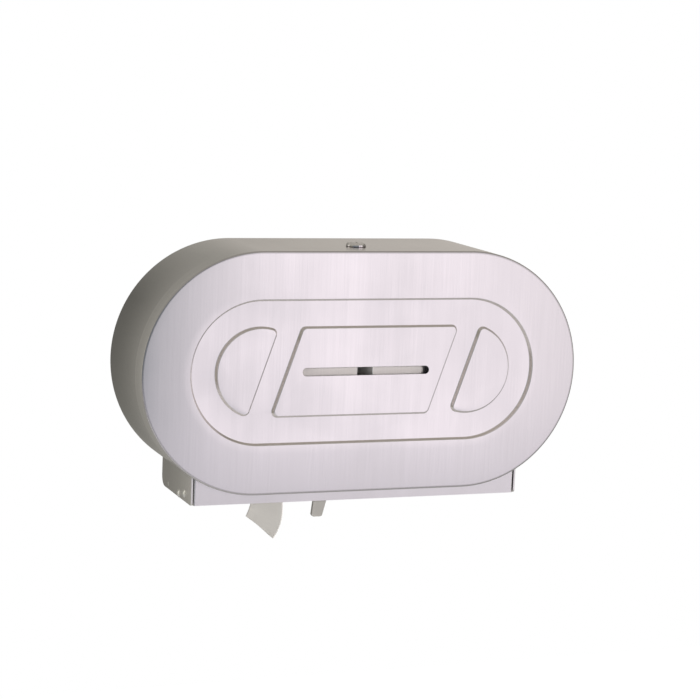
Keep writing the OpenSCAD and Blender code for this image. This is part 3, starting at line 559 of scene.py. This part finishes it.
# steels have the light and dark ends of their brushing, metals and plastics a colour, then the roughness
coverSteel = sheetSteel("coverSatin", (0.86, 0.835, 0.85), (0.82, 0.795, 0.81), 0.21, upright)
sideSteel = sheetSteel("sideSatin", (0.88, 0.86, 0.86), (0.78, 0.76, 0.76), 0.36, alongZ)
materials = {
    "cover": paintCoverShade(shadeRear(coverSteel, coverShade), coverPaintedShade),
    "side": shadeRear(sideSteel, sideShade),
    "base": sheetSteel("baseSatin", (0.84, 0.82, 0.84), (0.79, 0.77, 0.79), 0.30, upright),
    # the back plate is mill steel, its colour made darker as painted shade for the shade it lies in between
    # the rolls
    "plate": sheetSteel("shadedMillPlate", (0.40, 0.39, 0.39), (0.33, 0.32, 0.32), 0.40, alongX),
    "rail": sheetSteel("railSteel", (0.70, 0.69, 0.69), (0.60, 0.59, 0.59), 0.30, alongX),
    "shutter": sheetSteel("shutterSteel", (0.72, 0.71, 0.71), (0.62, 0.61, 0.61), 0.30, alongX),
    "keeper": sheetSteel("keeperSteel", (0.66, 0.65, 0.65), (0.56, 0.55, 0.55), 0.33, alongY),
    "spindle": smallMetal("turnedSteel", (0.70, 0.69, 0.68), 0.26, (900.0, 30.0, 900.0)),
    "spring": smallMetal("springSteel", (0.42, 0.41, 0.42), 0.32),
    "rivet": smallMetal("rivetSteel", (0.90, 0.89, 0.86), 0.24),
    "zinc": smallMetal("zincPlate", (0.60, 0.59, 0.55), 0.34),
    "chrome": paintFootShade(smallMetal("lockChrome", (0.86, 0.83, 0.84), 0.09), lockFootShade),
    "nylon": mouldedPlastic("naturalNylon", (0.80, 0.78, 0.70), 0.45),
    "hub": mouldedPlastic("blackHub", (0.035, 0.034, 0.04), 0.42),
    "tab": mouldedPlastic("greyTab", (0.20, 0.19, 0.175), 0.55),
    "tissue": tissuePaper("tissueRoll", (0.82, 0.80, 0.775), (40.0, 900.0, 40.0)),
    "tail": tissuePaper("tissueTail", (0.72, 0.69, 0.66), (1200.0, 60.0, 1200.0)),
    "leftEnd": woundPaper("leftRollEnd", (0.63, 0.58, 0.565), -rollX),
    "rightEnd": woundPaper("rightRollEnd", (0.63, 0.58, 0.565), rollX),
    "card": cardboard("coreCard", (0.52, 0.40, 0.27)),
}

# which solids have which finish
finishes = {
    "cover": ["front_cover"], "side": ["left_side_plate", "right_side_plate"], "base": ["base_frame"],
    "plate": ["back_plate"], "rail": ["front_rail", "rear_rail"], "shutter": ["shutter_panel"],
    "keeper": ["latch_keeper"], "spindle": ["left_spindle", "right_spindle"],
    "spring": ["left_retainer", "right_retainer", "left_tear_strip", "right_tear_strip"],
    "rivet": ["base_rivets", "spindle_rivets", "keeper_rivets", "side_rivets", "tab_rivets",
              "left_hinge_pin", "right_hinge_pin"],
    "zinc": ["lock_washer", "lock_nut", "lock_cam", "cam_screw"], "chrome": ["lock_body", "lock_plug"],
    "nylon": ["hinge_washers", "side_glides"], "tab": ["finger_tab"], "card": ["left_core", "right_core"],
    "hub": ["left_hub", "right_hub", "left_hub_cap", "right_hub_cap"],
    "tissue": ["left_paper_roll", "right_paper_roll"], "tail": ["paper_tail"],
}
for finish, names in finishes.items():
    for name in names:
        nodes[name].data.materials.clear()
        nodes[name].data.materials.append(materials[finish])
print("materials made:", len(materials))


def makePiece(name, mesh, body, finish, replaced):
    piece = bpy.data.objects.new(name, mesh)
    bpy.context.scene.collection.objects.link(piece)
    for material in finish:
        mesh.materials.append(material)
    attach(piece, body)
    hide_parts(*replaced)
    return piece


# a finished bmesh becomes mesh data
def meshData(mesh, name):
    data = bpy.data.meshes.new(name)
    mesh.to_mesh(data)
    mesh.free()
    return data


# a band of faces between two closed rings
def joinRings(mesh, first, second, finish=0):
    for i in range(len(first)):
        j = (i + 1) % len(first)
        mesh.faces.new((first[i], first[j], second[j], second[i])).material_index = finish


# gives a sheet its thickness, and puts the modifier into the mesh
def thicken(piece, name, thick, offset):
    sheet = piece.modifiers.new(name, "SOLIDIFY")
    sheet.thickness = thick * mm
    sheet.offset = offset
    graph = bpy.context.evaluated_depsgraph_get()
    mesh = bpy.data.meshes.new_from_object(piece.evaluated_get(graph))
    piece.modifiers.clear()
    piece.data = mesh


def smoothShade(piece, angle):
    piece.data.shade_smooth()
    piece.data.set_sharp_from_angle(angle=math.radians(angle))


cover = {
    "wide": 529.0, "endRadius": 138.7, "deep": 135.0, "sheet": 1.0, "wallGap": 1.0,      # mm
    "edgeRadius": 2.1, "edgeSteps": 6, "lipRear": 128.5, "baseHalf": 200.0, "skirtRing": 50.0,
    "crown": 1.6, "crownRings": 6, "crownEase": 0.25,       # how far the face falls back towards its edge
    "drawLine": 109.0, "drawRun": 3.0, "drawStep": 0.12,    # faint step left by the second draw
    "sunkHalf": 208.9, "sunkRadius": 83.1, "sunkDepth": 4.0, "wallRun": 2.2, "wallSteps": 8, "soften": 0.3,
    "fieldHalfWide": 96.5, "fieldHalfHigh": 51.7, "slant": 0.34, "cornerRadius": 7.0,
    "endFieldRadius": 52.2, "endFieldOut": 1.6, "channel": 24.5, "fieldDrop": 0.3, "embossUp": 1.7,
    "slotLong": 154.0, "slotHigh": 9.2, "slotSteps": 16,
    "slotLip": ((0.5, 0.0), (0.15, 0.15), (0.0, 0.5)),      # out from the slot, and back from the field
    "arcSteps": 72, "cornerSteps": 8, "sharpAngle": 40, "normalWeight": 90,     # angle in degrees
}


# an outline is a list of (core point, outward normal): moved out along the normals it gives parallel loops
def stadiumOutline(halfX, arcSteps):
    straightSteps = 12
    outline = []
    for side, start in ((1, -90), (-1, 90)):
        for i in range(arcSteps + 1):
            turn = math.radians(start + 180 * i / arcSteps)
            outline.append((Vector((side * halfX, 0)), Vector((math.cos(turn), math.sin(turn)))))
        for i in range(1, straightSteps):
            across = halfX * side * (1 - 2 * i / straightSteps)
            outline.append((Vector((across, 0)), Vector((0, side))))
    return outline


def cornerFan(point, start, sweep, steps):
    turns = [start + sweep * i / steps for i in range(steps + 1)]
    return [(point, Vector((math.cos(turn), math.sin(turn)))) for turn in turns]


def angleOf(vector):
    return math.atan2(vector.y, vector.x)


# slanted centre field, shrunk by its corner radius to its core
def centreFieldOutline(look):
    radius = look["cornerRadius"]
    lean = Vector((look["slant"], 1)).normalized()
    halfHigh = look["fieldHalfHigh"] - radius
    halfWide = look["fieldHalfWide"] - radius / lean.y
    corners = [Vector((sx * halfWide + look["slant"] * sz * halfHigh, sz * halfHigh))
               for sx, sz in ((1, -1), (1, 1), (-1, 1), (-1, -1))]
    sideNormal = Vector((lean.y, -lean.x))
    starts = [-math.pi / 2, angleOf(sideNormal), math.pi / 2, angleOf(-sideNormal)]
    outline = []
    for i, corner in enumerate(corners):
        sweep = (starts[(i + 1) % 4] - starts[i]) % (2 * math.pi)
        outline += cornerFan(corner, starts[i], sweep, look["cornerSteps"])
    return outline


# D-shaped end field: a circle cut by the slanted line, on the right or turned half round
def endFieldOutline(look, turned):
    radius = look["cornerRadius"]
    lean = Vector((look["slant"], 1)).normalized()
    inward = Vector((-lean.y, lean.x))           # outward normal of the straight edge
    centre = Vector((look["sunkHalf"] - look["sunkRadius"] + look["endFieldOut"], 0))
    cut = Vector((look["fieldHalfWide"] + look["channel"] + look["endFieldOut"], 0)) - inward * radius
    coreRadius = look["endFieldRadius"] - radius
    offset = (cut - centre).dot(inward)
    half = math.sqrt(coreRadius ** 2 - offset ** 2)
    foot = centre + inward * offset
    low, high = foot - lean * half, foot + lean * half
    normalLow, normalHigh = angleOf(low - centre), angleOf(high - centre)
    sweep = (normalHigh - normalLow) % (2 * math.pi)
    arc = cornerFan(centre, normalLow, sweep, look["arcSteps"])[1:-1]
    outline = [(point + normal * coreRadius, normal) for point, normal in arc]
    straight = angleOf(inward)
    outline += cornerFan(high, normalHigh, (straight - normalHigh) % (2 * math.pi), look["cornerSteps"])
    outline += cornerFan(low, straight, (normalLow - straight) % (2 * math.pi), look["cornerSteps"])
    if turned:
        outline = [(-point, -normal) for point, normal in outline]
    return outline


# the cover's outline, with the nearest points moved to where the cut over the base starts and ends
def coverOutline(look):
    arcX = look["wide"] / 2 - look["endRadius"]
    cutTurn = math.acos((look["baseHalf"] - arcX) / look["endRadius"])
    near = 1.001 * math.pi / look["arcSteps"] / 4            # half a step of the arc, and a little
    outline = []
    for point, normal in stadiumOutline(arcX, look["arcSteps"] * 2):
        turn = angleOf(normal)
        for edge in (-cutTurn, -math.pi + cutTurn):
            if abs(turn - edge) < near:
                normal = Vector((math.cos(edge), math.sin(edge)))
        outline.append((point, normal))
    return outline


def inside(x, y, loop):
    within = False
    for (ax, ay), (bx, by) in zip(loop, loop[1:] + loop[:1]):
        if (ay > y) != (by > y) and x < ax + (bx - ax) * (y - ay) / (by - ay):
            within = not within
    return within


# how deep a sloped wall has gone at a share of its run, with eased ends
def wallEase(share):
    return share * share * (3 - 2 * share)


class CoverMesh:
    def __init__(self, look):
        self.mesh = bmesh.new()
        self.look = look

    def loop(self, outline, grow, depth, up=0.0):
        made = []
        for point, normal in outline:
            at = point + normal * grow
            made.append(self.mesh.verts.new((at.x * mm, -depth * mm, (at.y + up) * mm)))
        return made

    def strip(self, inner, outer, skip=None):
        count = len(inner)
        for i in range(count):
            j = (i + 1) % count
            corners = (inner[i], inner[j], outer[j], outer[i])
            if not (skip and skip(i)) and len({tuple(v.co) for v in corners}) > 2:
                self.mesh.faces.new(corners)

    # a sloped wall between two levels, as rings of parallel loops: gives back its first and last ring
    def wall(self, outline, growFromTo, depthFromTo):
        steps = self.look["wallSteps"]
        (growFrom, growTo), (depthFrom, depthTo) = growFromTo, depthFromTo
        made = []
        for i in range(steps + 1):
            share = i / steps
            grow = growFrom + (growTo - growFrom) * share
            depth = depthFrom + (depthTo - depthFrom) * wallEase(share)
            made.append(self.loop(outline, grow, depth, self.look["embossUp"]))
        for first, second in zip(made, made[1:]):
            self.strip(first, second)
        return made[0], made[-1]

    # flat area inside one loop and outside others
    def flat(self, outer, holes):
        loops = [outer] + holes
        verts = [v for loop in loops for v in loop]
        points = [Vector((v.co.x, v.co.z)) for v in verts]
        edges, start = [], 0
        for loop in loops:
            edges += [(start + i, start + (i + 1) % len(loop)) for i in range(len(loop))]
            start += len(loop)
        result = geometry.delaunay_2d_cdt(points, edges, [], 1, 1e-9)
        source = [origin[0] for origin in result[3]]
        cut = [[(v.co.x, v.co.z) for v in loop] for loop in holes]
        for face in result[2]:
            corners = [verts[source[i]] for i in face]
            middle = sum((v.co for v in corners), Vector()) / len(corners)
            inHole = any(inside(middle.x, middle.z, loop) for loop in cut)
            if len(set(corners)) == len(corners) and not inHole:
                self.mesh.faces.new(corners)


# the skirt, from the wall to the lip, cut away over the base, and then the rolled edge
def makeSkirt(shell, look, outline):
    radius, edge = look["endRadius"], look["edgeRadius"]
    line, run, step = look["drawLine"], look["drawRun"], look["drawStep"]

    def overBase(i):
        ends = [outline[i], outline[(i + 1) % len(outline)]]
        middle = sum((point + normal * radius for point, normal in ends), Vector((0, 0))) / 2
        return middle.y < 0 and abs(middle.x) < look["baseHalf"]

    rows = [(0, look["wallGap"]), (0, look["skirtRing"]), (0, line - run), (-step * 0.5, line),
            (-step, line + run), (-step, look["lipRear"])]
    lipRow = len(rows) - 1
    for i in range(look["edgeSteps"] + 1):
        turn = math.pi / 2 * i / look["edgeSteps"]
        depth = look["deep"] - look["crown"] - edge * (1 - math.sin(turn))
        rows.append((-step - edge * (1 - math.cos(turn)), depth))
    loops = [shell.loop(outline, radius + grow, depth) for grow, depth in rows]
    for i in range(len(loops) - 1):
        shell.strip(loops[i], loops[i + 1], overBase if i < lipRow else None)
    return loops[-1]


# the face's rim, gently crowned, from the rolled edge up to the sunk panel
def makeRim(shell, look, outline, sunkLine, edgeLoop):
    reach = look["endRadius"] - look["drawStep"] - look["edgeRadius"]
    sunkReach = look["sunkRadius"] + look["soften"]
    last = edgeLoop
    for i in range(1, look["crownRings"] + 1):
        share = i / look["crownRings"]
        ease = (1 - look["crownEase"]) * share + look["crownEase"] * (1 - (1 - share) ** 2)
        depth = look["deep"] - look["crown"] * (1 - ease)
        made = []
        for (point, normal), (sunkPoint, sunkNormal) in zip(outline, sunkLine):
            inner = sunkPoint + sunkNormal * sunkReach + Vector((0, look["embossUp"]))
            at = (point + normal * reach).lerp(inner, share)
            made.append(shell.mesh.verts.new((at.x * mm, -depth * mm, at.y * mm)))
        shell.strip(last, made)
        last = made


# the sunk panel, the three fields raised out of it and the view slot
def makeEmbossing(shell, look, sunkLine):
    run, soft, corner, up = look["wallRun"], look["soften"], look["cornerRadius"], look["embossUp"]
    face, radius = look["deep"], look["sunkRadius"]
    sunkFloor, fieldTop = face - look["sunkDepth"], face - look["fieldDrop"]
    _, sunkFoot = shell.wall(sunkLine, (radius + soft, radius - run - soft), (face, sunkFloor))
    tops, feet = [], []
    for line in (centreFieldOutline(look), endFieldOutline(look, False), endFieldOutline(look, True)):
        foot, top = shell.wall(line, (corner + soft, corner - run - soft), (sunkFloor, fieldTop))
        feet.append(foot)
        tops.append(top)
    slotLine = stadiumOutline((look["slotLong"] - look["slotHigh"]) / 2, look["slotSteps"])
    slot = [shell.loop(slotLine, look["slotHigh"] / 2 + out, fieldTop - back, up)
            for out, back in look["slotLip"]]
    for first, second in zip(slot, slot[1:]):
        shell.strip(first, second)
    shell.flat(sunkFoot, feet)
    for top, holes in zip(tops, ([slot[0]], [], [])):
        shell.flat(top, holes)


def makeCover(look):
    shell = CoverMesh(look)
    outline = coverOutline(look)
    sunkLine = stadiumOutline(look["sunkHalf"] - look["sunkRadius"], look["arcSteps"] * 2)
    edgeLoop = makeSkirt(shell, look, outline)
    makeRim(shell, look, outline, sunkLine, edgeLoop)
    makeEmbossing(shell, look, sunkLine)

    mesh = shell.mesh
    bmesh.ops.remove_doubles(mesh, verts=mesh.verts, dist=1e-6)
    bmesh.ops.delete(mesh, geom=[v for v in mesh.verts if not v.link_faces], context="VERTS")
    bmesh.ops.recalc_face_normals(mesh, faces=mesh.faces)
    outward = max(mesh.faces, key=lambda f: f.calc_area())
    if outward.normal.y > 0:
        bmesh.ops.reverse_faces(mesh, faces=mesh.faces)
    data = meshData(mesh, "coverShell")
    piece = makePiece("coverShell", data, "cover", [materials["cover"]], ["front_cover"])
    thicken(piece, "sheet", look["sheet"], -1)
    smoothShade(piece, look["sharpAngle"])
    weighted = piece.modifiers.new("evenNormals", "WEIGHTED_NORMAL")
    weighted.keep_sharp = True
    weighted.weight = look["normalWeight"]
    print("cover made:", len(piece.data.polygons), "faces")


makeCover(cover)


lock = {
    "axisY": -85.0, "skirt": 138.75, "bore": 7.07, "barrel": 9.5, "flange": 11.6,     # mm
    "foot": 0.8, "domeHigh": 4.4, "domeTop": 8.3, "lipTop": 7.6, "lipDrop": 0.5,
    "arcSteps": 12, "around": 96, "sharpAngle": 35,
}


# the lock's body turned in one piece: threaded barrel, foot and domed collar round the plug
def makeLock(look):
    bottom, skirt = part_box("lock_body")[0][2] / mm, look["skirt"]
    top = skirt + look["domeHigh"]
    barrel = look["barrel"]
    profile = [(look["bore"], bottom), (barrel, bottom), (barrel, skirt), (look["flange"], skirt)]
    rise, run = look["domeHigh"] - look["foot"], look["flange"] - look["domeTop"]
    for i in range(look["arcSteps"] + 1):
        turn = math.pi / 2 * i / look["arcSteps"]
        profile.append((look["domeTop"] + run * math.cos(turn), skirt + look["foot"] + rise * math.sin(turn)))
    profile += [(look["lipTop"], top), (look["bore"], top - look["lipDrop"])]

    mesh = bmesh.new()
    turns = [2 * math.pi * i / look["around"] for i in range(look["around"])]
    rings = []
    for radius, z in profile:
        spots = [(radius * math.cos(turn), look["axisY"] + radius * math.sin(turn)) for turn in turns]
        rings.append([mesh.verts.new((x * mm, y * mm, z * mm)) for x, y in spots])
    for first, second in zip(rings, rings[1:] + rings[:1]):
        joinRings(mesh, first, second)
    bmesh.ops.recalc_face_normals(mesh, faces=mesh.faces)
    data = meshData(mesh, "lockCollar")
    piece = makePiece("lockCollar", data, "cover", [materials["chrome"]], ["lock_body"])
    smoothShade(piece, look["sharpAngle"])


makeLock(lock)
print("lock made")


phaseSpan = 6.28         # radians, the span of a random phase
rolls = {
    "left": {"x": -rollX, "radius": 124.0, "body": "left_roll", "seed": 3},
    "right": {"x": rollX, "radius": 110.0, "body": "right_roll", "seed": 8},
}
rollShape = {
    "rear": 17.0, "wide": 96.0, "coreRadius": 38.35, "around": 144, "across": 12,       # mm
    "layers": 22, "layerStep": 0.45, "edgeRound": 0.8,
    "waviness": 0.35, "waves": 3, "sharpAngle": 35,
}


# a roll's section, from the core over the front end and the outside to the rear end, and back to the core:
# each row is a radius, a depth, whether it is on a wound end, and its waviness
def rollRows(look, shape, dice):
    rear, front = shape["rear"], shape["rear"] + shape["wide"]
    core, top, edge, uneven = shape["coreRadius"], look["radius"], shape["edgeRound"], shape["waviness"]
    layers = [core + (top - edge - core) * i / shape["layers"] for i in range(shape["layers"] + 1)]
    rows = [(radius, front - dice.uniform(0, shape["layerStep"]), True, 0.0) for radius in layers]
    rows.append((top, front - edge, False, uneven))
    for i in range(1, shape["across"]):
        depth = front - edge - (shape["wide"] - 2 * edge) * i / shape["across"]
        rows.append((top, depth, False, uneven))
    rows.append((top, rear + edge, False, uneven))
    layers.reverse()
    rows += [(radius, rear + dice.uniform(0, shape["layerStep"]), True, 0.0) for radius in layers]
    return rows


# the roll as wound: its ends step in and out by layers, its outside is slightly uneven
def makeRoll(side, look, shape):
    dice = random.Random(look["seed"])
    mesh = bmesh.new()
    waves = shape["waves"]
    phase = [dice.uniform(0, phaseSpan) for _ in range(waves)]
    rows = rollRows(look, shape, dice)

    def ring(radius, depth, wave):
        made = []
        for i in range(shape["around"]):
            turn = 2 * math.pi * i / shape["around"]
            dip = sum(math.sin(turn * (k + 2) + phase[k]) for k in range(waves)) / waves
            r = radius - wave * (1 + dip) / 2
            x, z = look["x"] + r * math.cos(turn), r * math.sin(turn)
            made.append(mesh.verts.new((x * mm, -depth * mm, z * mm)))
        return made

    rings = [ring(radius, depth, wave) for radius, depth, _, wave in rows]
    for i in range(len(rows)):
        j = (i + 1) % len(rows)
        joinRings(mesh, rings[i], rings[j], 1 if rows[i][2] and rows[j][2] else 0)
    bmesh.ops.recalc_face_normals(mesh, faces=mesh.faces)
    name = side + "PaperRoll"
    finish = [materials["tissue"], materials[side + "End"]]
    piece = makePiece(name, meshData(mesh, name), look["body"], finish, [side + "_paper_roll"])
    smoothShade(piece, shape["sharpAngle"])


for side, look in rolls.items():
    makeRoll(side, look, rollShape)
print("rolls made")


tail = {
    "rear": 17.0, "wide": 96.0, "thick": 0.18, "gap": 0.3,           # mm
    "wrap": 24.0, "wrapSteps": 16,               # degrees still on the roll
    "passX": -88.0, "passZ": -135.6,             # where the two straight runs would meet
    "bendRadius": 36.0, "hang": 12.0,            # the bend, and the straight run below it
    "curlRadius": 49.0, "endAngle": 37.0,        # the curl, and how many degrees it turns
    "stillRows": 20,                             # rows from the roll that lie even
    "rearSwing": 3.5, "swingAt": 0.62, "swingSpan": 0.38,            # the rear edge bows out to the left
    "twist": (-1.0, 3.0), "skew": (-1.2, 1.2),   # at the cut end, rear and front: sideways, and along
    "ripple": 0.35, "rippleAcross": 9.0, "rippleAlong": 0.11, "curl": 1.2,
    "cutWave": 0.5, "cutWaves": 7.0,             # the cut edge's own wave
    "across": 32, "step": 2.0, "seed": 5,
}


# the paper's middle line, from the roll to its cut end, as (x, z, angle from straight down)
def tailRoute(look):
    roll = rolls["left"]
    radius = roll["radius"] + look["gap"]
    corner = Vector((look["passX"] - roll["x"], look["passZ"]))
    leave = math.atan2(corner.y, corner.x) + math.acos(radius / corner.length)
    route = []
    for i in range(look["wrapSteps"], 0, -1):
        turn = leave + math.radians(look["wrap"]) * i / look["wrapSteps"]
        route.append((roll["x"] + radius * math.cos(turn), radius * math.sin(turn), -turn))
    start = Vector((radius * math.cos(leave), radius * math.sin(leave)))
    lean, curl = -leave, math.radians(look["endAngle"])
    lead = (corner - start).length - look["bendRadius"] * math.tan(lean / 2)
    at, angle = start + Vector((roll["x"], 0)), lean
    route.append((at.x, at.y, angle))
    for long, turned in ((lead, 0), (look["bendRadius"] * lean, -lean), (look["hang"], 0),
                         (look["curlRadius"] * curl, curl)):
        steps = math.ceil(long / look["step"])
        for _ in range(steps):
            middle = angle + turned / steps / 2
            at = at + Vector((-math.sin(middle), -math.cos(middle))) * (long / steps)
            angle += turned / steps
            route.append((at.x, at.y, angle))
    return route


# how a point of the sheet leaves its middle line, in X and Z: free goes from 0 near the roll to 1 at the end
def tailBow(look, phase, angle, i, free, share):
    wave = look["ripple"] * free * math.sin(look["rippleAcross"] * share + phase[0])
    wave *= math.sin(look["rippleAlong"] * i + phase[1])
    wave += look["curl"] * free * free * (2 * share - 1) ** 2
    wave -= free * free * (look["twist"][0] * (1 - share) + look["twist"][1] * share)
    swing = max(0.0, 1 - ((free - look["swingAt"]) / look["swingSpan"]) ** 2)
    wave += look["rearSwing"] * (1 - share) * swing
    slip = free * free * (look["skew"][0] * (1 - share) + look["skew"][1] * share)
    along = Vector((-math.sin(angle), -math.cos(angle))) * slip
    return Vector((math.cos(angle), -math.sin(angle))) * -wave + along


def makeTail(look):
    dice = random.Random(look["seed"])
    phase = [dice.uniform(0, phaseSpan) for _ in range(4)]
    route = tailRoute(look)
    mesh = bmesh.new()
    grid = []
    for i, (x, z, angle) in enumerate(route):
        free = max(0.0, (i - look["stillRows"]) / (len(route) - look["stillRows"]))
        row = []
        for j in range(look["across"] + 1):
            share = j / look["across"]
            depth = look["rear"] + look["wide"] * share
            aside = tailBow(look, phase, angle, i, free, share)
            sag = 0.0
            if i == len(route) - 1:
                sag = look["cutWave"] * free * math.sin(look["cutWaves"] * share + phase[2])
            row.append(mesh.verts.new(((x + aside.x) * mm, -depth * mm, (z + aside.y + sag) * mm)))
        grid.append(row)
    for first, second in zip(grid, grid[1:]):
        for j in range(look["across"]):
            mesh.faces.new((first[j], first[j + 1], second[j + 1], second[j]))
    data = meshData(mesh, "hangingPaper")
    piece = makePiece("hangingPaper", data, "cabinet", [materials["tail"]], ["paper_tail"])
    thicken(piece, "ply", look["thick"], 0)
    piece.data.shade_smooth()
    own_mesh(piece)


makeTail(tail)


makeCamera(cameraLook)
makeWorld(studio)
makeLight("keyLight", studio["keyPlace"], studio["keySize"], studio["keyPower"], studio["aimAt"])
makeLight("fillLight", studio["fillPlace"], studio["fillSize"], studio["fillPower"], studio["aimAt"])
makeFloor(studio)
bpy.context.scene.view_settings.view_transform = "Standard"
print("stage set")
